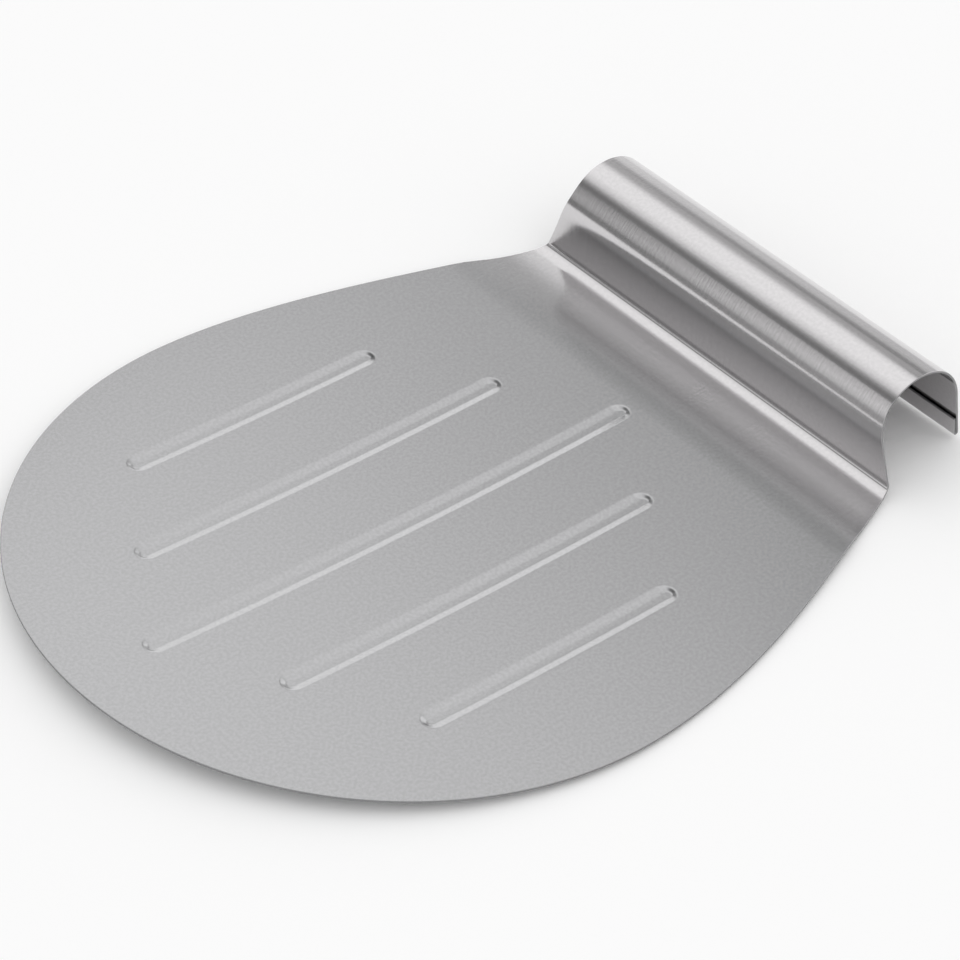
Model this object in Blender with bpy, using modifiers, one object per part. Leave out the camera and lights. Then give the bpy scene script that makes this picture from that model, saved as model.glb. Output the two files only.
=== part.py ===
"""Cake lifter, folded from one sheet of brushed stainless steel.

Metres, +Z up, +Y from the front tip of the blade to the handle, +X to the right.

The sheet is laid out flat as a blank: a round blade whose sides draw in to the
straight tab of the handle. Grooves are pressed down into the blade, which bow it
faintly along its length. The tab is then rolled: a level foot, a tight crease, a
riser, a finger curl that comes back down, and a flat hem folded back inside it.

"run" is the distance along the sheet from the foot line, where the bow of the blade
ends. It is negative on the blade and positive on the handle.
"""

import math

import bmesh
import bpy
from mathutils import Vector

# Sheet
SHEET_THICKNESS = 0.0008

# Blade, seen from above
BLADE_WIDTH = 0.260
BLADE_LENGTH = 0.245          # front tip to the foot line
WIDEST_FROM_FOOT = 0.118      # where the blade is widest
HANDLE_WIDTH = 0.162
SIDES_STRAIGHT_FROM = 0.054   # run where the sides of the handle become parallel

# Fullness of the outline: how far each curve keeps its end's direction
TIP_REACH_SHARE = 0.571       # of the blade's half width
CHEEK_REACH_SHARE = 0.531     # of the length from the tip to the widest place
TAPER_REACH_SHARE = 0.407     # of the length of the tapering side, from the widest place
TAB_REACH_SHARE = 0.143       # of the same length, from the straight side

# Pressed grooves
GROOVE_WIDTH = 0.0096
GROOVE_FLOOR_WIDTH = 0.003
GROOVE_DEPTH = 0.0009
GROOVE_PITCH = 0.0402
CENTRE_GROOVE_LENGTH = 0.203
CENTRE_GROOVE_FROM_FOOT = 0.0135
GROOVE_END_STEP = 0.0246      # how much each end draws back from one groove to the next
GROOVES_EACH_SIDE = 2

# Faint bow of the blade, hollow side up
BOW_RADIUS = 2.08
BOW_LEVEL_FROM_FOOT = 0.072   # the level place, under the lifter's centre of gravity

# Bends of the rolled tab, in the order they follow from the foot line
FOOT_LENGTH = 0.0175          # comes level here before it turns up
FILLET_RADIUS = 0.040
FILLET_ANGLE = math.radians(8.6)
CREASE_RADIUS = 0.0019
CREASE_ANGLE = math.radians(77.6)
RISER_LENGTH = 0.0141
CURL_RADIUS = 0.0188
CURL_ANGLE = math.radians(168.8)
FLAP_LENGTH = 0.0179

# Hem, folded flat against the inside of the curl
HEM_DEPTH = 0.0077            # bottom of the fold to the cut edge
HEM_GAP = 0.0004              # between the hem and the wall

# Fineness of the facets
FRONT_STEPS = 20
SIDE_STEPS = 12
GROOVE_END_STEPS = 10
GROOVE_WALL_STEPS = 4
FACET_ANGLE = math.radians(7.5)
LONGEST_FACET = 0.006
BOW_FACET_LENGTH = 0.020
MERGE_DISTANCE = 0.00001
CUT_SNAP = 0.0001             # a corner this close to a cut across lies on it
HALVINGS = 20                 # of the search for the outline's width at a run
SMOOTH_UP_TO = math.radians(30)

STEEL_COLOUR = (0.47, 0.47, 0.48, 1.0)
STEEL_ROUGHNESS = 0.32


def clear_scene():
    for leftover in list(bpy.data.objects):
        bpy.data.objects.remove(leftover, do_unlink=True)


def brushed_steel():
    material = bpy.data.materials.new("brushed_stainless_steel")
    material.use_nodes = True
    shader = material.node_tree.nodes["Principled BSDF"]
    shader.inputs["Base Color"].default_value = STEEL_COLOUR
    shader.inputs["Metallic"].default_value = 1.0
    shader.inputs["Roughness"].default_value = STEEL_ROUGHNESS
    return material


def cubic(ends_and_handles, share):
    """A value on a cubic curve: start, its handle, the end's handle, end."""
    start, start_handle, end_handle, end = ends_and_handles
    rest = 1 - share
    bend = 3 * rest * share * (rest * start_handle + share * end_handle)
    return rest**3 * start + bend + share**3 * end


def front_edge():
    """Right half of the blade's front, from the tip to the widest place."""
    half = BLADE_WIDTH / 2
    cheek = (BLADE_LENGTH - WIDEST_FROM_FOOT) * CHEEK_REACH_SHARE
    across = (0, half * TIP_REACH_SHARE, half, half)
    along = (-BLADE_LENGTH, -BLADE_LENGTH, -WIDEST_FROM_FOOT - cheek, -WIDEST_FROM_FOOT)
    shares = [step / FRONT_STEPS for step in range(FRONT_STEPS + 1)]
    return [(cubic(across, share), cubic(along, share)) for share in shares]


def half_width(run):
    """Half the sheet's width on the tapering side and on the handle."""
    if run >= SIDES_STRAIGHT_FROM:
        return HANDLE_WIDTH / 2
    taper = WIDEST_FROM_FOOT + SIDES_STRAIGHT_FROM
    along = (
        -WIDEST_FROM_FOOT,
        -WIDEST_FROM_FOOT + taper * TAPER_REACH_SHARE,
        SIDES_STRAIGHT_FROM - taper * TAB_REACH_SHARE,
        SIDES_STRAIGHT_FROM,
    )
    low, high = 0, 1
    for _ in range(HALVINGS):
        middle = (low + high) / 2
        if cubic(along, middle) < run:
            low = middle
        else:
            high = middle
    across = (BLADE_WIDTH / 2, BLADE_WIDTH / 2, HANDLE_WIDTH / 2, HANDLE_WIDTH / 2)
    return cubic(across, high)


def blade_outline():
    """Blade outline of the right half, carried just past the middle for the mirror."""
    past_middle = -GROOVE_WIDTH
    points = [(past_middle, -BLADE_LENGTH)]
    points += front_edge()
    for step in range(1, SIDE_STEPS + 1):
        run = -WIDEST_FROM_FOOT * (1 - step / SIDE_STEPS)
        points.append((half_width(run), run))
    points.append((past_middle, 0))
    return points


def groove_rim(number):
    """Rounded slot of one groove, counted from the middle groove outwards."""
    radius = GROOVE_WIDTH / 2
    back = -CENTRE_GROOVE_FROM_FOOT - number * GROOVE_END_STEP
    front = back - CENTRE_GROOVE_LENGTH + 2 * number * GROOVE_END_STEP
    points = []
    for centre_y, first_turn in ((back - radius, 0), (front + radius, math.pi)):
        for step in range(GROOVE_END_STEPS + 1):
            turn = first_turn + math.pi * step / GROOVE_END_STEPS
            across = number * GROOVE_PITCH + radius * math.cos(turn)
            points.append((across, centre_y + radius * math.sin(turn)))
    return points


def draw_loop(mesh, points):
    """Closed chain of edges through the points, flat at zero height."""
    corners = [mesh.verts.new((across, along, 0)) for across, along in points]
    return [mesh.edges.new((a, b)) for a, b in zip(corners, corners[1:] + corners[:1])]


def press_groove(mesh, rim):
    """Sink the slot inside the rim in rings, with walls that start and end level."""
    floor = bmesh.ops.contextual_create(mesh, geom=rim)["faces"]
    if floor[0].normal.z < 0:
        bmesh.ops.reverse_faces(mesh, faces=floor)
    wall = (GROOVE_WIDTH - GROOVE_FLOOR_WIDTH) / 2
    sunk = 0
    for step in range(1, GROOVE_WALL_STEPS + 1):
        depth = GROOVE_DEPTH * (1 - math.cos(math.pi * step / GROOVE_WALL_STEPS)) / 2
        bmesh.ops.inset_individual(
            mesh,
            faces=floor,
            thickness=wall / GROOVE_WALL_STEPS,
            depth=sunk - depth,
            use_even_offset=True,
        )
        sunk = depth


def bow_height(run):
    return (run + BOW_LEVEL_FROM_FOOT) ** 2 / (2 * BOW_RADIUS)


def foot_slope():
    """Slope that the bow gives the sheet at the foot line."""
    return math.atan(BOW_LEVEL_FROM_FOOT / BOW_RADIUS)


def bow_blade(mesh):
    """Cut the blade across into strips, one of them level, and bow it along them."""
    cuts = math.ceil(BLADE_LENGTH / BOW_FACET_LENGTH)
    for number in range(-cuts, cuts):
        run = -BOW_LEVEL_FROM_FOOT + (number + 0.5) * BOW_FACET_LENGTH
        if -BLADE_LENGTH < run < 0:
            bmesh.ops.bisect_plane(
                mesh,
                geom=mesh.verts[:] + mesh.edges[:] + mesh.faces[:],
                dist=CUT_SNAP,
                plane_co=(0, run, 0),
                plane_no=(0, 1, 0),
            )
    for corner in mesh.verts:
        corner.co.z += bow_height(corner.co.y)


def bends():
    """Length and signed angle of each bend; a positive angle turns the sheet up."""
    fold_radius = (SHEET_THICKNESS + HEM_GAP) / 2
    hem_length = HEM_DEPTH - fold_radius - SHEET_THICKNESS / 2
    return [
        (FOOT_LENGTH, -foot_slope()),
        (FILLET_RADIUS * FILLET_ANGLE, FILLET_ANGLE),
        (CREASE_RADIUS * CREASE_ANGLE, CREASE_ANGLE),
        (RISER_LENGTH, 0),
        (CURL_RADIUS * CURL_ANGLE, -CURL_ANGLE),
        (FLAP_LENGTH, 0),
        (fold_radius * math.pi, -math.pi),
        (hem_length, 0),
    ]


def rolled_rows():
    """Run, Y and Z of each row of the rolled tab, after the foot line."""
    run, along, height, heading = 0, 0, bow_height(0), foot_slope()
    rows = []
    for length, angle in bends():
        facets = math.ceil(max(abs(angle) / FACET_ANGLE, length / LONGEST_FACET))
        turn = angle / facets
        arc = length / facets
        chord = arc * math.sin(turn / 2) / (turn / 2) if turn else arc
        for _ in range(facets):
            along += chord * math.cos(heading + turn / 2)
            height += chord * math.sin(heading + turn / 2)
            heading += turn
            run += arc
            rows.append((run, along, height))
    return rows


def roll_tab(mesh, foot):
    """Draw the tab out of the foot edge, row by row."""
    edge = foot
    for run, along, height in rolled_rows():
        drawn = bmesh.ops.extrude_edge_only(mesh, edges=[edge])["geom"]
        edge = next(part for part in drawn if isinstance(part, bmesh.types.BMEdge))
        outer = max(edge.verts, key=lambda corner: corner.co.x)
        inner = edge.other_vert(outer)
        outer.co = (half_width(run), along, height)
        inner.co = (inner.co.x, along, height)


def sheet_mesh():
    """Middle surface of the right half of the sheet."""
    mesh = bmesh.new()
    outline = draw_loop(mesh, blade_outline())
    foot = next(edge for edge in outline if all(corner.co.y == 0 for corner in edge.verts))
    rims = [draw_loop(mesh, groove_rim(number)) for number in range(GROOVES_EACH_SIDE + 1)]
    flat_edges = outline + [edge for rim in rims for edge in rim]
    bmesh.ops.triangle_fill(mesh, edges=flat_edges, use_beauty=True, normal=(0, 0, 1))
    for rim in rims:
        press_groove(mesh, rim)
    bow_blade(mesh)
    roll_tab(mesh, foot)
    bmesh.ops.recalc_face_normals(mesh, faces=mesh.faces)
    data = bpy.data.meshes.new("lifter_sheet")
    mesh.to_mesh(data)
    mesh.free()
    return data


def mirror_halves(sheet):
    mirror = sheet.modifiers.new("both_halves", "MIRROR")
    mirror.use_axis = (True, False, False)
    mirror.use_bisect_axis = (True, False, False)
    mirror.bisect_threshold = MERGE_DISTANCE
    mirror.merge_threshold = MERGE_DISTANCE


def give_thickness(sheet):
    solidify = sheet.modifiers.new("sheet_thickness", "SOLIDIFY")
    solidify.thickness = SHEET_THICKNESS
    solidify.offset = 0
    solidify.use_even_offset = True
    solidify.use_quality_normals = True


def stand_on_origin(sheet):
    """Put the middle of the footprint on the origin and the lowest face at zero."""
    evaluated = sheet.evaluated_get(bpy.context.evaluated_depsgraph_get())
    corners = [Vector(corner) for corner in evaluated.bound_box]
    low = Vector(min(corner[axis] for corner in corners) for axis in range(3))
    high = Vector(max(corner[axis] for corner in corners) for axis in range(3))
    middle = (low + high) / 2
    sheet.location = (-middle.x, -middle.y, -low.z)


def make_lifter():
    collection = bpy.data.collections.new("cake_lifter")
    bpy.context.scene.collection.children.link(collection)
    sheet = bpy.data.objects.new("lifter_sheet", sheet_mesh())
    collection.objects.link(sheet)
    mirror_halves(sheet)
    give_thickness(sheet)
    sheet.data.shade_smooth()
    sheet.data.set_sharp_from_angle(angle=SMOOTH_UP_TO)
    sheet.data.materials.append(brushed_steel())
    stand_on_origin(sheet)


clear_scene()
make_lifter()
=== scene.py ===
# %% [markdown]
# # A cake lifter in brushed stainless steel
#
# A cake lifter is one sheet of thin steel: a wide round blade that slides under a
# cake, and a handle rolled out of the same sheet. This lesson lays the sheet out
# flat as a fine mesh, presses and bends it as the press and the folding machine do,
# and then gives it the brushed finish, the studio and the camera.
#
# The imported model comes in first. It says how large the lifter is and where it stands,
# so every length below is in metres in that same frame.

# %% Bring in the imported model
import math

import bpy
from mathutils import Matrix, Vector
from mathutils.geometry import delaunay_2d_cdt


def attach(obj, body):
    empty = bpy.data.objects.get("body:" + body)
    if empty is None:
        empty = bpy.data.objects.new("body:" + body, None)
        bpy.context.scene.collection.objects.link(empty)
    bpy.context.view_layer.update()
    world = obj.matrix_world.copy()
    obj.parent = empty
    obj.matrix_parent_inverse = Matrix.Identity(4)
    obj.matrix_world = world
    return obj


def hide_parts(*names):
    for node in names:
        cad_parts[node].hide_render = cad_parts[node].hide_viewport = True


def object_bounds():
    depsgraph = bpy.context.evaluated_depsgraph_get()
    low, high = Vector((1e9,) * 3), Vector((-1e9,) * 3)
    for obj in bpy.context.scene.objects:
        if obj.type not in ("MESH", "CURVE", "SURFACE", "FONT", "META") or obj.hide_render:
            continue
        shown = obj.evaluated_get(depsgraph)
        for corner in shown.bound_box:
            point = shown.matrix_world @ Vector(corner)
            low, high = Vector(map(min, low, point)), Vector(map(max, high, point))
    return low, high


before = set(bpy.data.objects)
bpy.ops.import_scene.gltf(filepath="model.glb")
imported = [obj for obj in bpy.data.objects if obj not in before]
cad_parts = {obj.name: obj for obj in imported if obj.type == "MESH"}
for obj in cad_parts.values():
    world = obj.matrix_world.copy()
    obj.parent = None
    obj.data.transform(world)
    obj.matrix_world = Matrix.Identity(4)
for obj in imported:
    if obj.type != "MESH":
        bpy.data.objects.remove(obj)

packed_low, packed_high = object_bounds()
print("the packed lifter measures", [round(b - a, 4) for a, b in zip(packed_low, packed_high)])

# %% [markdown]
# ## The sheet's sizes
#
# These are the sizes of the real sheet. "run" is the distance along it from the foot
# line, where the blade ends and the handle begins: negative on the blade, positive
# on the handle. Working along the sheet makes both the blade and the rolled handle
# easy to describe, because a bend never changes a length along the sheet.

# %% Sizes of the sheet
SHEET_THICKNESS = 0.0008
BLADE_WIDTH = 0.260
BLADE_LENGTH = 0.245          # front tip to the foot line
WIDEST_FROM_FOOT = 0.118
HANDLE_WIDTH = 0.162
SIDES_STRAIGHT_FROM = 0.054   # run where the sides of the handle become parallel
TIP_REACH_SHARE = 0.571       # fullness of the outline's curves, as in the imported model
CHEEK_REACH_SHARE = 0.531
TAPER_REACH_SHARE = 0.407
TAB_REACH_SHARE = 0.143
print("the blade is", BLADE_WIDTH, "m wide and", BLADE_LENGTH, "m long")

# %% [markdown]
# ## The camera
#
# The camera stands high at the lifter's front right corner, and looks down at it
# through a long lens. A long lens keeps the far side of the blade nearly as large as
# the near side. It is placed first, so that every later step can be seen from there.

# %% Camera
CAMERA_TARGET = Vector((-0.0028, 0.0124, 0.0013))
CAMERA_DISTANCE = 1.2035
CAMERA_TURN = math.radians(51.07)      # from the front, round to the right
CAMERA_HEIGHT_ANGLE = math.radians(39.93)
CAMERA_LENS_MM = 133.6


def place_camera():
    camera = bpy.data.objects.new("camera", bpy.data.cameras.new("camera"))
    bpy.context.scene.collection.objects.link(camera)
    camera.data.lens = CAMERA_LENS_MM
    camera.rotation_euler = (math.pi / 2 - CAMERA_HEIGHT_ANGLE, 0, CAMERA_TURN)
    away = camera.rotation_euler.to_matrix() @ Vector((0, 0, 1))
    camera.location = CAMERA_TARGET + away * CAMERA_DISTANCE
    bpy.context.scene.camera = camera
    return camera


print("the camera stands at", [round(value, 3) for value in place_camera().location])

# %% [markdown]
# ## The blank, laid out flat
#
# On the real thing a press cuts the blank from flat sheet. Its outline is made of
# cubic curves, the kind that a drawing program's pen tool makes: one round each side
# of the front, and one from the widest place in to the parallel sides of the handle.
# The curve of the side is needed by its run, so a short search finds the place on it.

# %% Half the width of the sheet
HALVINGS = 30                 # of the search for the width at a run


def cubic(ends_and_handles, share):
    """A value on a cubic curve: start, its handle, the end's handle, end."""
    start, start_handle, end_handle, end = ends_and_handles
    rest = 1 - share
    bend = 3 * rest * share * (rest * start_handle + share * end_handle)
    return rest**3 * start + bend + share**3 * end


def half_width(run):
    """Half the sheet's width on the tapering side and on the handle."""
    if run >= SIDES_STRAIGHT_FROM:
        return HANDLE_WIDTH / 2
    taper = WIDEST_FROM_FOOT + SIDES_STRAIGHT_FROM
    along = (
        -WIDEST_FROM_FOOT,
        -WIDEST_FROM_FOOT + taper * TAPER_REACH_SHARE,
        SIDES_STRAIGHT_FROM - taper * TAB_REACH_SHARE,
        SIDES_STRAIGHT_FROM,
    )
    low, high = 0, 1
    for _ in range(HALVINGS):
        middle = (low + high) / 2
        if cubic(along, middle) < run:
            low = middle
        else:
            high = middle
    across = (BLADE_WIDTH / 2, BLADE_WIDTH / 2, HANDLE_WIDTH / 2, HANDLE_WIDTH / 2)
    return cubic(across, high)


print("the sheet is", round(2 * half_width(0), 4), "m wide at the foot line")

# %% Outline of the blank
FRONT_STEPS = 56
SIDE_STEPS = 24
COLUMNS = 44                  # of faces across the handle


def front_edge():
    """Right half of the blade's front, from the tip to the widest place."""
    half = BLADE_WIDTH / 2
    cheek = (BLADE_LENGTH - WIDEST_FROM_FOOT) * CHEEK_REACH_SHARE
    across = (0, half * TIP_REACH_SHARE, half, half)
    along = (-BLADE_LENGTH, -BLADE_LENGTH, -WIDEST_FROM_FOOT - cheek, -WIDEST_FROM_FOOT)
    shares = [step / FRONT_STEPS for step in range(FRONT_STEPS + 1)]
    return [(cubic(across, share), cubic(along, share)) for share in shares]


def column_shares():
    """Place of each column across the sheet, from -1 at the left side to 1."""
    return [2 * column / COLUMNS - 1 for column in range(COLUMNS + 1)]


def blank_outline():
    """Blade outline, right round from the tip by the right side and the foot line."""
    right = front_edge()
    for step in range(1, SIDE_STEPS):
        run = -WIDEST_FROM_FOOT * (1 - step / SIDE_STEPS)
        right.append((half_width(run), run))
    foot = [(share * half_width(0), 0.0) for share in reversed(column_shares())]
    left = [(-across, run) for across, run in reversed(right[1:])]
    return right + foot + left


outline = blank_outline()
print("the blade's outline has", len(outline), "points")

# %% [markdown]
# ## The grooves
#
# Five long grooves are pressed down into the blade to stiffen it. A groove's wall is a
# straight slope with a rounded rim and a rounded foot. It is wide along the sides,
# narrower and so steeper at the ends, and steepest at the back, where the metal shows
# a dark spot. The even slope matters: it turns a whole strip of the wall towards one
# light, and that strip is the bright line along each side of a groove.

# %% Sizes of the grooves
GROOVE_WIDTH = 0.0098
GROOVE_DEPTH = 0.0008
GROOVE_PITCH = 0.0402
CENTRE_GROOVE_LENGTH = 0.203
CENTRE_GROOVE_FROM_FOOT = 0.0135
GROOVE_END_STEP = 0.0246      # each end draws back this much from groove to groove
GROOVES_EACH_SIDE = 2
SIDE_WALL = 0.0038            # width of a groove's side wall, seen from above
FRONT_WALL = 0.0020           # the same for the wall at its front end
BACK_WALL = 0.0015            # and at its back end
WALL_ROUNDING = 0.2           # share of a wall that is rounded at its rim, and at its foot


def all_grooves():
    """The grooves' numbers, from the left; the one in the middle is number 0."""
    return range(-GROOVES_EACH_SIDE, GROOVES_EACH_SIDE + 1)


def groove_line(number):
    """Middle line of a groove: its place across, and its front and back ends."""
    shorter = abs(number) * GROOVE_END_STEP
    back = -CENTRE_GROOVE_FROM_FOOT - shorter - GROOVE_WIDTH / 2
    front = -CENTRE_GROOVE_FROM_FOOT - CENTRE_GROOVE_LENGTH + shorter + GROOVE_WIDTH / 2
    return number * GROOVE_PITCH, front, back


print("the grooves' middle lines:", [[round(v, 4) for v in groove_line(n)] for n in all_grooves()])

# %% Depth of a groove


def nearest_groove(across):
    return max(-GROOVES_EACH_SIDE, min(GROOVES_EACH_SIDE, round(across / GROOVE_PITCH)))


def from_groove(number, across, run):
    """Distance from a groove's middle line, and how far past the line's end."""
    middle, front, back = groove_line(number)
    past_end = max(front - run, run - back, 0)
    return math.hypot(across - middle, past_end), past_end


def share_sunk(share):
    """Share of the depth reached at this share of a wall's width, from its rim."""
    rounding = 2 * WALL_ROUNDING * (1 - WALL_ROUNDING)
    if share < WALL_ROUNDING:
        return share**2 / rounding
    if share > 1 - WALL_ROUNDING:
        return 1 - (1 - share) ** 2 / rounding
    return (share - WALL_ROUNDING / 2) / (1 - WALL_ROUNDING)


def groove_depth(across, run):
    """How far the groove sinks the sheet at this place; nothing outside its rim."""
    number = nearest_groove(across)
    from_line, past_end = from_groove(number, across, run)
    inside = GROOVE_WIDTH / 2 - from_line
    if inside <= 0:
        return 0
    endwise = (past_end / from_line) ** 2 if past_end else 0
    end_wall = FRONT_WALL if run < groove_line(number)[1] else BACK_WALL
    wall = SIDE_WALL * (1 - endwise) + end_wall * endwise
    return GROOVE_DEPTH * share_sunk(min(inside / wall, 1))


print("a groove's middle is", round(groove_depth(0, -WIDEST_FROM_FOOT), 5), "m deep")

# %% [markdown]
# ## A mesh that follows the grooves
#
# The blade could be a plain grid, but a grid cuts across the round ends of the grooves
# and draws them as stairs. Here it is a field of points instead: the cut outline, rings
# round each groove where the sheet will bend sharply, and an even grid in between. A
# Delaunay triangulation joins them into well shaped triangles and keeps each ring as
# an unbroken line of edges.

# %% Rings round a groove
RING_INSETS = (               # of the rings from the groove's rim; two lie outside it
    -0.0008, -0.0003, 0, 0.0002, 0.0004, 0.0006, 0.0008, 0.0012,
    0.0016, 0.0020, 0.0025, 0.0030, 0.0034, 0.0038, 0.0042,
)
RING_END_STEPS = 18
RING_SIDE_SPACING = 0.007


def along_groove(number):
    """Evenly spaced runs along a groove's middle line, both ends included."""
    _, front, back = groove_line(number)
    steps = math.ceil((back - front) / RING_SIDE_SPACING)
    return [front + (back - front) * step / steps for step in range(steps + 1)]


def groove_ring(number, inset):
    """Points round a groove, this far inside its rim."""
    across, front, back = groove_line(number)
    radius = GROOVE_WIDTH / 2 - inset
    sides = along_groove(number)[1:-1]
    points = []
    for end, first_turn, side in ((back, 0, sides[::-1]), (front, math.pi, sides)):
        for step in range(RING_END_STEPS + 1):
            turn = first_turn + math.pi * step / RING_END_STEPS
            points.append((across + radius * math.cos(turn), end + radius * math.sin(turn)))
        points += [(points[-1][0], run) for run in side]
    return points


print("the middle groove's rim has", len(groove_ring(0, 0)), "points")

# %% Grid between the grooves
GRID_SPACING = 0.0058
GRID_CLEARANCE = 0.0022       # between the grid and any ring or outline point


def clear_of_grooves(across, run):
    from_line, _ = from_groove(nearest_groove(across), across, run)
    return from_line > GROOVE_WIDTH / 2 - RING_INSETS[0] + GRID_CLEARANCE


def edge_half_width(run, front):
    """Half the blade's width at a run, from the same curves as the outline."""
    if run >= -WIDEST_FROM_FOOT:
        return half_width(run)
    before = max((point for point in front if point[1] <= run), default=front[0])
    after = min(point for point in front if point[1] >= run)
    if after[1] == before[1]:
        return before[0]
    share = (run - before[1]) / (after[1] - before[1])
    return before[0] + (after[0] - before[0]) * share


def grid_points():
    front = front_edge()
    rows = int(BLADE_LENGTH / GRID_SPACING)
    points = []
    for row in range(1, rows):
        run = -BLADE_LENGTH * row / rows
        reach = edge_half_width(run, front) - GRID_CLEARANCE
        steps = int(reach / GRID_SPACING)
        line = [(column * GRID_SPACING, run) for column in range(-steps, steps + 1)]
        points += [point for point in line if clear_of_grooves(*point)]
    return points


print("the grid has", len(grid_points()), "points")

# %% Triangulate the blank
JOIN_WITHIN = 1e-7
INSIDE_ONLY = 1               # the triangulation leaves out what lies outside the outline


def blade_triangles():
    """Flat points of the blade, and its triangles as triples of point numbers."""
    rings = [groove_ring(number, inset) for number in all_grooves() for inset in RING_INSETS]
    points, edges = [], []
    for loop in [outline] + rings:
        first = len(points)
        points += loop
        edges += [(first + n, first + (n + 1) % len(loop)) for n in range(len(loop))]
    for number in all_grooves():
        points += [(groove_line(number)[0], run) for run in along_groove(number)]
    flat = [Vector(point) for point in points + grid_points()]
    blank = [list(range(len(outline)))]
    made = delaunay_2d_cdt(flat, edges, blank, INSIDE_ONLY, JOIN_WITHIN, False)
    return [tuple(point) for point in made[0]], [tuple(triangle) for triangle in made[2]]


flat_points, triangles = blade_triangles()
print("the blade has", len(flat_points), "points and", len(triangles), "triangles")

# %% [markdown]
# ## The height of the blade
#
# The flat points only need a height. The whole blade is bowed a little along its
# length, so its front tip and its foot stand up from the table. The folding machine
# also leaves a shallow hollow across the sheet just in front of the crease. It is
# little more than a millimetre deep, but brushed steel shows it as a dark band, because
# the hollow turns the metal to face the handle.

# %% Bow and hollow
BOW_RADIUS = 2.08
BOW_LEVEL_FROM_FOOT = 0.072   # where the bowed blade lies level
HOLLOW_DEPTH = 0.0013
HOLLOW_RUN = 0.0075           # its lowest line
HOLLOW_FRONT_REACH = 0.015
HOLLOW_BACK_REACH = 0.016
HOLLOW_BACK_POWER = 1.4       # it rises faster the nearer it comes to the crease


def bow_height(run):
    return (run + BOW_LEVEL_FROM_FOOT) ** 2 / (2 * BOW_RADIUS)


def hollow_depth(run):
    """How far the sheet lies below its bow in the hollow in front of the crease."""
    beyond = run - HOLLOW_RUN
    if beyond > 0:
        share = (beyond / HOLLOW_BACK_REACH) ** HOLLOW_BACK_POWER
    else:
        share = -beyond / HOLLOW_FRONT_REACH
    return HOLLOW_DEPTH * (1 + math.cos(math.pi * share)) / 2 if share < 1 else 0


def blade_height(across, run):
    return bow_height(run) - hollow_depth(run) - groove_depth(across, run)


tip_height = round(blade_height(0, -BLADE_LENGTH), 4)
print("the front tip stands", tip_height, "m above the bow's lowest line")

# %% [markdown]
# ## The rolled handle
#
# A folding machine rolls the tab of the blank: a foot that comes level, a soft start
# and then a tight crease, a short riser, a wide finger curl that comes down behind,
# and a hem folded back inside so that no sharp edge meets the fingers. Each bend has
# a length along the sheet and an angle, and the rows simply follow one another.

# %% Bends of the tab
FOOT_LENGTH = 0.01944
FOOT_END_SLOPE = math.radians(-2.32)
FILLET_RADIUS = 0.0090
FILLET_ANGLE = math.radians(30.32)
CREASE_RADIUS = 0.00204
CREASE_ANGLE = math.radians(58.2)
RISER_LENGTH = 0.01395
CURL_RADIUS = 0.0188
CURL_ANGLE = math.radians(168.8)
FLAP_LENGTH = 0.0179
HEM_DEPTH = 0.0077
HEM_GAP = 0.0004


def foot_slope():
    return math.atan(BOW_LEVEL_FROM_FOOT / BOW_RADIUS)


def bends():
    """Length and signed angle of each bend; a positive angle turns the sheet up."""
    fold_radius = (SHEET_THICKNESS + HEM_GAP) / 2
    hem_length = HEM_DEPTH - fold_radius - SHEET_THICKNESS / 2
    return [
        (FOOT_LENGTH, FOOT_END_SLOPE - foot_slope()),
        (FILLET_RADIUS * FILLET_ANGLE, FILLET_ANGLE),
        (CREASE_RADIUS * CREASE_ANGLE, CREASE_ANGLE),
        (RISER_LENGTH, 0),
        (CURL_RADIUS * CURL_ANGLE, -CURL_ANGLE),
        (FLAP_LENGTH, 0),
        (fold_radius * math.pi, -math.pi),
        (hem_length, 0),
    ]


print("the tab is", round(sum(length for length, _ in bends()), 4), "m long before it is rolled")

# %% Rows of the rolled tab
ROW_ANGLE = math.radians(3)
LONGEST_ROW = 0.004


def rolled_rows():
    """Run, Y and Z of each row of the rolled tab, after the foot line."""
    run, along, height, heading = 0, 0, bow_height(0), foot_slope()
    rows = []
    for length, angle in bends():
        facets = math.ceil(max(abs(angle) / ROW_ANGLE, length / LONGEST_ROW))
        turn = angle / facets
        arc = length / facets
        chord = arc * math.sin(turn / 2) / (turn / 2) if turn else arc
        for _ in range(facets):
            along += chord * math.cos(heading + turn / 2)
            height += chord * math.sin(heading + turn / 2)
            heading += turn
            run += arc
            rows.append((run, along, height))
    return rows


tab_rows = rolled_rows()
print("the handle has", len(tab_rows), "rows over", round(tab_rows[-1][0], 4), "m of sheet")

# %% [markdown]
# ## One sheet
#
# The blade's triangles and the handle's rows meet along the foot line and share its
# points, so the lifter is one unbroken sheet as the real one is. The flat place of
# each point is kept as its UV: it is what the steel looked like before pressing, and
# it is the natural map for the brushed grain, which runs along the sheet.

# %% Join the blade and the handle


def sheet_faces():
    """Points of the sheet, their flat places, and its faces."""
    places = [Vector((across, run, blade_height(across, run))) for across, run in flat_points]
    flats = list(flat_points)
    faces = list(triangles)
    foot = [n for n, flat in enumerate(flat_points) if abs(flat[1]) < JOIN_WITHIN]
    before = sorted(foot, key=lambda n: flat_points[n][0])
    for run, along, height in tab_rows:
        row = []
        for share in column_shares():
            across = share * half_width(run)
            row.append(len(places))
            places.append(Vector((across, along, height - hollow_depth(run))))
            flats.append((across, run))
        for n in range(COLUMNS):
            faces.append((before[n], before[n + 1], row[n + 1], row[n]))
        before = row
    return places, flats, faces


def stand_in_frame(places):
    """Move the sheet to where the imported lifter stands."""
    half = SHEET_THICKNESS / 2
    lowest = min(place.z for place in places) - half
    front = packed_low[1] - min(place.y for place in places)
    for place in places:
        place.y += front
        place.z -= lowest
    return places


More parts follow.
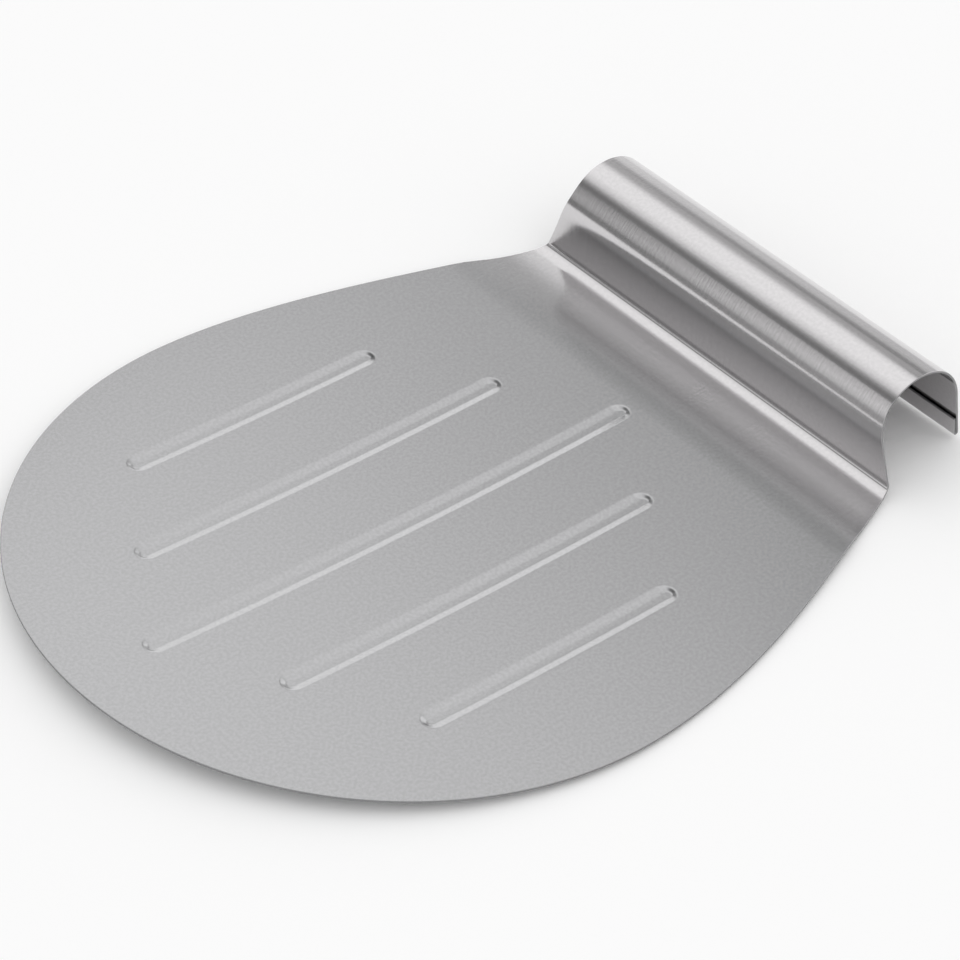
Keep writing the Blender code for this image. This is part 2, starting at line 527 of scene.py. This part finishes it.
def flat_sheet_mesh():
    places, flats, faces = sheet_faces()
    mesh = bpy.data.meshes.new("steel_sheet")
    mesh.from_pydata(stand_in_frame(places), [], faces)
    grain = mesh.uv_layers.new(name="flat_sheet")
    for corner in mesh.loops:
        grain.data[corner.index].uv = flats[corner.vertex_index]
    mesh.shade_smooth()
    mesh.validate()
    return mesh


thin_mesh = flat_sheet_mesh()
print("the sheet without thickness has", len(thin_mesh.polygons), "faces")

# %% [markdown]
# ## Thickness and edge
#
# Solidify gives the sheet its thickness, half to each side, so that bends keep their
# length in the middle of the metal. It also closes the sheet with a rim, which is the
# sheared edge and gets a finish of its own. A tiny bevel then stands for the deburring
# that every kitchen tool needs.

# %% Thicken the sheet and round its edge
RIM_MATERIAL = 1              # the sheared edge uses the sheet's second material
SHARP_FROM = math.radians(40)
DEBURR = 0.00014
DEBURR_STEPS = 2


def thick_sheet(mesh):
    sheet = bpy.data.objects.new("steel_sheet", mesh)
    bpy.context.scene.collection.objects.link(sheet)
    thickness = sheet.modifiers.new("sheet_thickness", "SOLIDIFY")
    thickness.thickness = SHEET_THICKNESS
    thickness.offset = 0
    thickness.use_even_offset = True
    thickness.material_offset_rim = RIM_MATERIAL
    deburr = sheet.modifiers.new("deburred_edge", "BEVEL")
    deburr.width = DEBURR
    deburr.segments = DEBURR_STEPS
    deburr.limit_method = "ANGLE"
    deburr.angle_limit = SHARP_FROM
    deburr.harden_normals = True
    return sheet


steel_sheet = thick_sheet(thin_mesh)
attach(steel_sheet, "root")
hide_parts("lifter_sheet")
print("the sheet has", [modifier.name for modifier in steel_sheet.modifiers])

# %% [markdown]
# ## Two small helpers
#
# Colours are written as they would be picked on a screen, as sRGB hex. Blender's
# shaders calculate with linear light, so one function turns them over. Another adds a
# node with its settings and links, which keeps each material as a short list.

# %% Helpers for colours and nodes


def linear(hex_colour):
    """An sRGB hex colour as linear red, green, blue and alpha."""
    channels = [int(hex_colour[n : n + 2], 16) / 255 for n in (0, 2, 4)]
    return [c / 12.92 if c <= 0.04045 else ((c + 0.055) / 1.055) ** 2.4 for c in channels] + [1]


def add_node(tree, kind, settings=(), inputs=(), links=()):
    """Add a node, with its settings, its input values and what is linked to them."""
    node = tree.nodes.new(kind)
    for name, value in dict(settings).items():
        setattr(node, name, value)
    for name, value in dict(inputs).items():
        node.inputs[name].default_value = value
    for name, socket in dict(links).items():
        tree.links.new(socket, node.inputs[name])
    return node


print("middle grey is", [round(c, 3) for c in linear("808080")[:3]], "in linear light")

# %% [markdown]
# ## Brushed stainless steel
#
# The sheet is austenitic stainless steel, brushed with an abrasive belt from the tip
# towards the handle. The fine parallel scratches spread a reflection sideways, across
# the grain, and leave it fairly sharp along the grain. That is what the anisotropy
# does, with its tangent laid across the grain.
#
# The blade keeps the dull grey of the belt. Tools that roll a handle press the scratches
# flat, so towards the handle the steel is drawn smoother. Its colour is drawn brighter
# there too, partly for that burnish and partly as painted sheen for light the real handle
# catches; how much of each is an estimate. A brushed face has a roughness of about 0.2
# and a burnished one of about 0.1. From there both were matched to the real lifter.
#
# The real scratches are about 0.05 mm apart. They are too fine to show in the render,
# so they are drawn 0.8 mm apart. The rolled sheet under them has a faint mottle about
# 1 mm across, which is just large enough to show.

# %% Grain and mottle
GRAIN_ACROSS_MM = 0.8
GRAIN_ALONG_MM = 14
MOTTLE_MM = 1.2
PATTERNS = (                  # mm across and along the sheet, octaves and their strength
    (GRAIN_ACROSS_MM, GRAIN_ALONG_MM, 3, 0.6),
    (MOTTLE_MM, MOTTLE_MM, 2, 0.5),
)


def grain_and_mottle(tree, uv):
    """Heights of the scratches and of the mottle under them, on the flat sheet."""
    heights = []
    for across_mm, along_mm, octaves, strength in PATTERNS:
        place = add_node(
            tree, "ShaderNodeVectorMath", {"operation": "MULTIPLY"},
            {1: (1000 / across_mm, 1000 / along_mm, 1)}, {0: uv},
        )
        pattern = add_node(
            tree, "ShaderNodeTexNoise", {"noise_dimensions": "2D"},
            {"Scale": 1, "Detail": octaves, "Roughness": strength},
            {"Vector": place.outputs[0]},
        )
        heights.append(pattern.outputs["Fac"])
    return heights


print("the scratches are drawn", GRAIN_ACROSS_MM, "mm apart and", GRAIN_ALONG_MM, "mm long")

# %% Tone and smoothness
BLADE_TONES = ("AFAFB0", "B5B5B6")     # of the mottle's darker and lighter patches
# the handle's lighter tones are partly burnished steel and partly painted sheen
HANDLE_TONES_WITH_PAINTED_SHEEN = ("CFCDCE", "D3D1D2")
PATCH_EDGES = (0.35, 0.65)    # heights of the mottle where a patch has its full tone
# these runs also set where the painted sheen in the handle's colour starts, and is full
BURNISH_AND_SHEEN_RUNS = (-0.005, 0.022)         # runs where the burnishing starts, and is full
BLADE_ROUGHNESS = 0.19
HANDLE_ROUGHNESS = 0.12
SCRATCH_ROUGHNESS = 0.06      # what the scratches add at most


def steel_tone_and_sheen(tree, mottle, burnish_and_sheen):
    """Grey with faint patches, brighter towards the handle, partly from burnish and partly as
    painted sheen.
    """
    patches = add_node(
        tree, "ShaderNodeMapRange", (),
        {"From Min": PATCH_EDGES[0], "From Max": PATCH_EDGES[1]}, {"Value": mottle},
    )
    blade_tone, handle_tone_and_sheen = [
        add_node(
            tree, "ShaderNodeMix", {"data_type": "RGBA"},
            {6: linear(dark), 7: linear(light)}, {0: patches.outputs["Result"]},
        ).outputs[2]
        for dark, light in (BLADE_TONES, HANDLE_TONES_WITH_PAINTED_SHEEN)
    ]
    return add_node(
        tree, "ShaderNodeMix", {"data_type": "RGBA"}, (),
        {0: burnish_and_sheen, 6: blade_tone, 7: handle_tone_and_sheen},
    ).outputs[2]


def steel_roughness(tree, grain, burnish_and_sheen):
    """Smoother where the steel is burnished, and uneven with the scratches."""
    dullness = add_node(
        tree, "ShaderNodeMapRange", (),
        {"To Min": BLADE_ROUGHNESS, "To Max": HANDLE_ROUGHNESS}, {"Value": burnish_and_sheen},
    )
    return add_node(
        tree, "ShaderNodeMath", {"operation": "MULTIPLY_ADD"}, {1: SCRATCH_ROUGHNESS},
        {0: grain, 2: dullness.outputs["Result"]},
    ).outputs[0]


print("the blade reflects", [round(c, 2) for c in linear(BLADE_TONES[1])[:3]], "of the light")

# %% The brushed finish
ANISOTROPY = 0.5
SCRATCH_STRENGTH = 0.8
SCRATCH_DEPTH = 0.00002
MOTTLE_DEPTH = 0.000006


def steel_relief(tree, grain, mottle):
    """Normal of the scratched and mottled surface."""
    scratches = add_node(
        tree, "ShaderNodeBump", (),
        {"Strength": SCRATCH_STRENGTH, "Distance": SCRATCH_DEPTH}, {"Height": grain},
    )
    return add_node(
        tree, "ShaderNodeBump", (), {"Strength": 1, "Distance": MOTTLE_DEPTH},
        {"Height": mottle, "Normal": scratches.outputs["Normal"]},
    ).outputs["Normal"]


def brushed_stainless_steel():
    material = bpy.data.materials.new("brushed_stainless_steel")
    material.use_nodes = True
    tree = material.node_tree
    uv = add_node(tree, "ShaderNodeUVMap", {"uv_map": "flat_sheet"}).outputs["UV"]
    grain, mottle = grain_and_mottle(tree, uv)
    # where the steel is burnished smoother, and where its colour gets the painted sheen
    split = add_node(tree, "ShaderNodeSeparateXYZ", (), (), {0: uv})
    burnish_and_sheen = add_node(
        tree, "ShaderNodeMapRange", (),
        {"From Min": BURNISH_AND_SHEEN_RUNS[0], "From Max": BURNISH_AND_SHEEN_RUNS[1]},
        {"Value": split.outputs["Y"]},
    ).outputs["Result"]
    tangent = add_node(
        tree, "ShaderNodeTangent", {"direction_type": "UV_MAP", "uv_map": "flat_sheet"}
    )
    shader = tree.nodes["Principled BSDF"]
    shader.inputs["Metallic"].default_value = 1
    shader.inputs["Anisotropic"].default_value = ANISOTROPY
    tree.links.new(steel_tone_and_sheen(tree, mottle, burnish_and_sheen), shader.inputs["Base Color"])
    tree.links.new(steel_roughness(tree, grain, burnish_and_sheen), shader.inputs["Roughness"])
    tree.links.new(steel_relief(tree, grain, mottle), shader.inputs["Normal"])
    tree.links.new(tangent.outputs["Tangent"], shader.inputs["Tangent"])
    return material


steel_sheet.data.materials.append(brushed_stainless_steel())
print("finish of the faces:", steel_sheet.data.materials[0].name)

# %% [markdown]
# ## The sheared edge
#
# The press shears the blank out of the same stainless sheet. The cut face tears as it
# parts, so it is rough and has no polish: its roughness is about 0.6, and it looks like
# an even, darker grey beside the bright faces. The real tears are about 0.1 mm across,
# too fine to show in the render, so they are drawn 0.6 mm across.

# %% The sheared edge's finish
TEAR_MM = 0.6
SHEARED_TONES = ("8E8E8F", "A4A4A5")
SHEARED_ROUGHNESS = (0.5, 0.7)


def sheared_stainless_steel():
    material = bpy.data.materials.new("sheared_stainless_steel")
    material.use_nodes = True
    tree = material.node_tree
    shader = tree.nodes["Principled BSDF"]
    shader.inputs["Metallic"].default_value = 1
    place = add_node(tree, "ShaderNodeTexCoord").outputs["Object"]
    tears = add_node(
        tree, "ShaderNodeTexNoise", (), {"Scale": 1000 / TEAR_MM, "Detail": 2}, {"Vector": place}
    ).outputs["Fac"]
    colour = add_node(
        tree, "ShaderNodeMix", {"data_type": "RGBA"},
        {6: linear(SHEARED_TONES[0]), 7: linear(SHEARED_TONES[1])}, {0: tears},
    )
    roughness = add_node(
        tree, "ShaderNodeMapRange", (),
        {"To Min": SHEARED_ROUGHNESS[0], "To Max": SHEARED_ROUGHNESS[1]}, {"Value": tears},
    )
    tree.links.new(colour.outputs[2], shader.inputs["Base Color"])
    tree.links.new(roughness.outputs["Result"], shader.inputs["Roughness"])
    return material


steel_sheet.data.materials.append(sheared_stainless_steel())
print("finish of the edge:", steel_sheet.data.materials[RIM_MATERIAL].name)

# %% [markdown]
# ## The studio
#
# Brushed metal shows its surroundings, so the studio is designed as bands of light
# round the lifter: pale low behind it, a wide scrim overhead, a second light lower in
# front, and darker room between them. The bands run parallel to the handle, and the
# metal draws them as the long light and dark stripes of a rolled edge. Each band is
# written twice, as it is further to the left and further to the right, because the
# stripes change slowly from one end of the handle to the other.
#
# The light of each band was found backwards. The slope of a strip of the handle says
# which direction it mirrors, so the band there was made lighter or darker until the
# strip was as bright as the real one. The bands therefore suit this camera best.
#
# A brighter light stands to each side, towards the back, with a gap between where the
# blade still reflects the bands. It is what makes the bright lines along the walls of
# the grooves, because only they are turned towards it.
#
# All of this is for reflections only. The camera and the floor see plain white.

# %% Bands of light
BANDS = (                     # degrees from straight up towards the front, and the light
    (-180, "000000", "000000"),   # there, further to the left and further to the right
    (-100, "FAFAFA", "C5C5C5"), (-84, "F1F1F1", "C8C8C8"), (-74, "F0F0F0", "CCCCCC"),
    (-66, "E5E5E5", "C0C0C0"), (-58, "BBBBBB", "8C8C8C"), (-50, "A8A8A8", "878787"),
    (38, "606060", "9A9A9A"), (46, "818181", "E4E4E4"), (54, "929292", "EBEBEB"),
    (62, "9C9C9C", "F6F6F6"), (72, "9B9B9B", "E6E6E6"), (80, "707070", "B6B6B6"),
    (92, "6C6C6C", "AEAEAE"), (180, "000000", "000000"),
)
BANDS_LEFT_AT = -0.64         # how far a direction leans to the side where each colour holds
BANDS_RIGHT_AT = -0.52


def set_stops(ramp, stops, first, last):
    """Give a ramp its stops, each a place between first and last and a colour."""
    elements = ramp.color_ramp.elements
    ramp.color_ramp.interpolation = "EASE"
    while len(elements) > 1:
        elements.remove(elements[-1])
    for number, (place, colour) in enumerate(stops):
        share = (place - first) / (last - first)
        stop = elements[0] if number == 0 else elements.new(share)
        stop.position = share
        stop.color = linear(colour)


def banded_light(tree, lean, angle):
    """Colour of the bands in a direction, from its lean and its angle."""
    turn = add_node(
        tree, "ShaderNodeMapRange", (), {"From Min": -math.pi, "From Max": math.pi},
        {"Value": angle},
    )
    ramps = []
    for side in (1, 2):
        ramp = add_node(tree, "ShaderNodeValToRGB", (), (), {"Fac": turn.outputs["Result"]})
        set_stops(ramp, [(band[0], band[side]) for band in BANDS], -180, 180)
        ramps.append(ramp.outputs["Color"])
    across = add_node(
        tree, "ShaderNodeMapRange", (),
        {"From Min": BANDS_LEFT_AT, "From Max": BANDS_RIGHT_AT}, {"Value": lean},
    )
    return add_node(
        tree, "ShaderNodeMix", {"data_type": "RGBA"}, (),
        {0: across.outputs["Result"], 6: ramps[0], 7: ramps[1]},
    ).outputs[2]


print("there are", len(BANDS), "bands of light")

# %% Light to each side
SIDE_LIGHT = (                # lean to the side, and how much of the side light is there
    (-1, "000000"), (-0.95, "000000"), (-0.89, "FFFFFF"), (-0.71, "FFFFFF"),
    (-0.61, "000000"), (-0.50, "000000"), (-0.40, "FFFFFF"), (1, "FFFFFF"),
)
SIDE_FROM = -31               # degrees towards the back where the side light starts
SIDE_FULL = -54               # and where it is full
SIDE_STRENGTH = 1.4


def side_light_share(tree, lean, angle):
    """How much of the side light a direction has, from its lean and its angle."""
    across = add_node(
        tree, "ShaderNodeMapRange", (), {"From Min": -1, "From Max": 1}, {"Value": lean}
    )
    sideways = add_node(tree, "ShaderNodeValToRGB", (), (), {"Fac": across.outputs["Result"]})
    set_stops(sideways, SIDE_LIGHT, -1, 1)
    backward = add_node(
        tree, "ShaderNodeMapRange", {"interpolation_type": "SMOOTHSTEP"},
        {"From Min": math.radians(SIDE_FROM), "From Max": math.radians(SIDE_FULL)},
        {"Value": angle},
    )
    return add_node(
        tree, "ShaderNodeMath", {"operation": "MULTIPLY"}, (),
        {0: sideways.outputs["Color"], 1: backward.outputs["Result"]},
    ).outputs[0]


print("the side light is full from", -SIDE_FULL, "degrees towards the back")

# %% World


def studio_world():
    world = bpy.data.worlds.new("studio")
    bpy.context.scene.world = world
    world.use_nodes = True
    tree = world.node_tree
    tree.nodes.clear()
    direction = add_node(tree, "ShaderNodeTexCoord").outputs["Generated"]
    split = add_node(tree, "ShaderNodeSeparateXYZ", (), (), {0: direction}).outputs
    forward = add_node(
        tree, "ShaderNodeMath", {"operation": "MULTIPLY"}, {1: -1}, {0: split["Y"]}
    )
    angle = add_node(
        tree, "ShaderNodeMath", {"operation": "ARCTAN2"}, (),
        {0: forward.outputs[0], 1: split["Z"]},
    ).outputs[0]
    bands = add_node(
        tree, "ShaderNodeBackground", (), {"Strength": 1},
        {"Color": banded_light(tree, split["X"], angle)},
    )
    white, side_light = [
        add_node(
            tree, "ShaderNodeBackground", (),
            {"Color": linear("FFFFFF"), "Strength": strength},
        )
        for strength in (1, SIDE_STRENGTH)
    ]
    beside = side_light_share(tree, split["X"], angle)
    around = add_node(
        tree, "ShaderNodeMixShader", (), (),
        {0: beside, 1: bands.outputs[0], 2: side_light.outputs[0]},
    )
    path = add_node(tree, "ShaderNodeLightPath").outputs
    mirrored = add_node(
        tree, "ShaderNodeMath", {"operation": "MAXIMUM"}, (),
        {0: path["Is Glossy Ray"], 1: path["Is Transmission Ray"]},
    )
    whole = add_node(
        tree, "ShaderNodeMixShader", (), (),
        {0: mirrored.outputs[0], 1: white.outputs[0], 2: around.outputs[0]},
    )
    add_node(tree, "ShaderNodeOutputWorld", (), (), {"Surface": whole.outputs[0]})
    return world


print("the world has", len(studio_world().node_tree.nodes), "nodes")

# %% [markdown]
# ## The scrim overhead
#
# A world is endlessly far away, so a flat blade shows one tone of it from end to end.
# The real blade shades from grey at the handle to pale at the tip, as it does under a
# large lit cloth that hangs close above. So the scrim is a real surface that gives off
# light, brightest in its middle and fading to the front and the back. One corner at
# its back right is open, which lets the side light reach the front ends of the
# grooves. The camera doesn't see it, and it casts no light on the floor.

# %% Overhead scrim
SCRIM_HEIGHT = 0.6
SCRIM_FRONT = -0.40
SCRIM_BACK = 0.8
SCRIM_LEFT = -0.84
SCRIM_RIGHT = 0.9
NOTCH_LEFT = -0.35            # of the open corner at the scrim's back right
NOTCH_FRONT = 0.50
SCRIM_STRENGTH = 1.15
SCRIM_LIGHT = (               # place from front to back in metres, and the light there
    (-0.40, "818181"), (-0.28, "797979"), (-0.21, "8D8D8D"), (-0.15, "B0B0B0"), (-0.09, "DADADA"),
    (0.00, "F2F2F2"), (0.10, "FFFFFF"), (0.33, "FFFFFF"), (0.40, "F8F8F8"), (0.46, "E4E4E4"),
    (0.53, "CACACA"), (0.59, "BABABA"), (0.66, "B2B2B2"), (0.80, "ACACAC"),
)


def flat_board(name, corners, height):
    """A level board of one face, with these corners."""
    places = [(x, y, height) for x, y in corners]
    mesh = bpy.data.meshes.new(name)
    mesh.from_pydata(places, [], [range(len(places))])
    board = bpy.data.objects.new(name, mesh)
    bpy.context.scene.collection.objects.link(board)
    return board


def lit_scrim():
    material = bpy.data.materials.new("lit_scrim")
    material.use_nodes = True
    tree = material.node_tree
    tree.nodes.clear()
    place = add_node(tree, "ShaderNodeTexCoord").outputs["Object"]
    split = add_node(tree, "ShaderNodeSeparateXYZ", (), (), {0: place})
    share = add_node(
        tree, "ShaderNodeMapRange", (), {"From Min": SCRIM_FRONT, "From Max": SCRIM_BACK},
        {"Value": split.outputs["Y"]},
    )
    ramp = add_node(tree, "ShaderNodeValToRGB", (), (), {"Fac": share.outputs["Result"]})
    set_stops(ramp, SCRIM_LIGHT, SCRIM_FRONT, SCRIM_BACK)
    light = add_node(
        tree, "ShaderNodeEmission", (), {"Strength": SCRIM_STRENGTH},
        {"Color": ramp.outputs["Color"]},
    )
    add_node(tree, "ShaderNodeOutputMaterial", (), (), {"Surface": light.outputs[0]})
    return material


def overhead_scrim():
    corners = [(SCRIM_LEFT, SCRIM_FRONT), (SCRIM_LEFT, SCRIM_BACK)]
    corners += [(NOTCH_LEFT, SCRIM_BACK), (NOTCH_LEFT, NOTCH_FRONT)]
    corners += [(SCRIM_RIGHT, NOTCH_FRONT), (SCRIM_RIGHT, SCRIM_FRONT)]
    scrim = flat_board("overhead_scrim", corners, SCRIM_HEIGHT)
    scrim.visible_camera = False
    scrim.visible_diffuse = False
    scrim.data.materials.append(lit_scrim())
    return scrim


print("the scrim is", round(SCRIM_BACK - SCRIM_FRONT, 2), "m deep:", overhead_scrim().name)

# %% [markdown]
# ## The floor
#
# A plain white board with a matt surface. It carries the lifter's soft shadow, and
# nothing else: it has no gloss, so it shows no second lifter upside down.

# %% Floor
FLOOR_HALF = 4.0
FLOOR_HEX = "FDFDFD"
FLOOR_ROUGHNESS = 0.9


def matt_white_board():
    material = bpy.data.materials.new("matt_white_board")
    material.use_nodes = True
    shader = material.node_tree.nodes["Principled BSDF"]
    shader.inputs["Base Color"].default_value = linear(FLOOR_HEX)
    shader.inputs["Roughness"].default_value = FLOOR_ROUGHNESS
    shader.inputs["Specular IOR Level"].default_value = 0
    return material


def white_floor():
    corners = [(x * FLOOR_HALF, y * FLOOR_HALF) for x, y in ((-1, -1), (1, -1), (1, 1), (-1, 1))]
    floor = flat_board("floor", corners, 0)
    floor.data.materials.append(matt_white_board())
    return floor


print("floor:", white_floor().name)

# %% [markdown]
# ## View settings
#
# The standard view shows each colour as it was written.

# %% Finish
bpy.context.scene.view_settings.view_transform = "Standard"
bpy.context.view_layer.update()
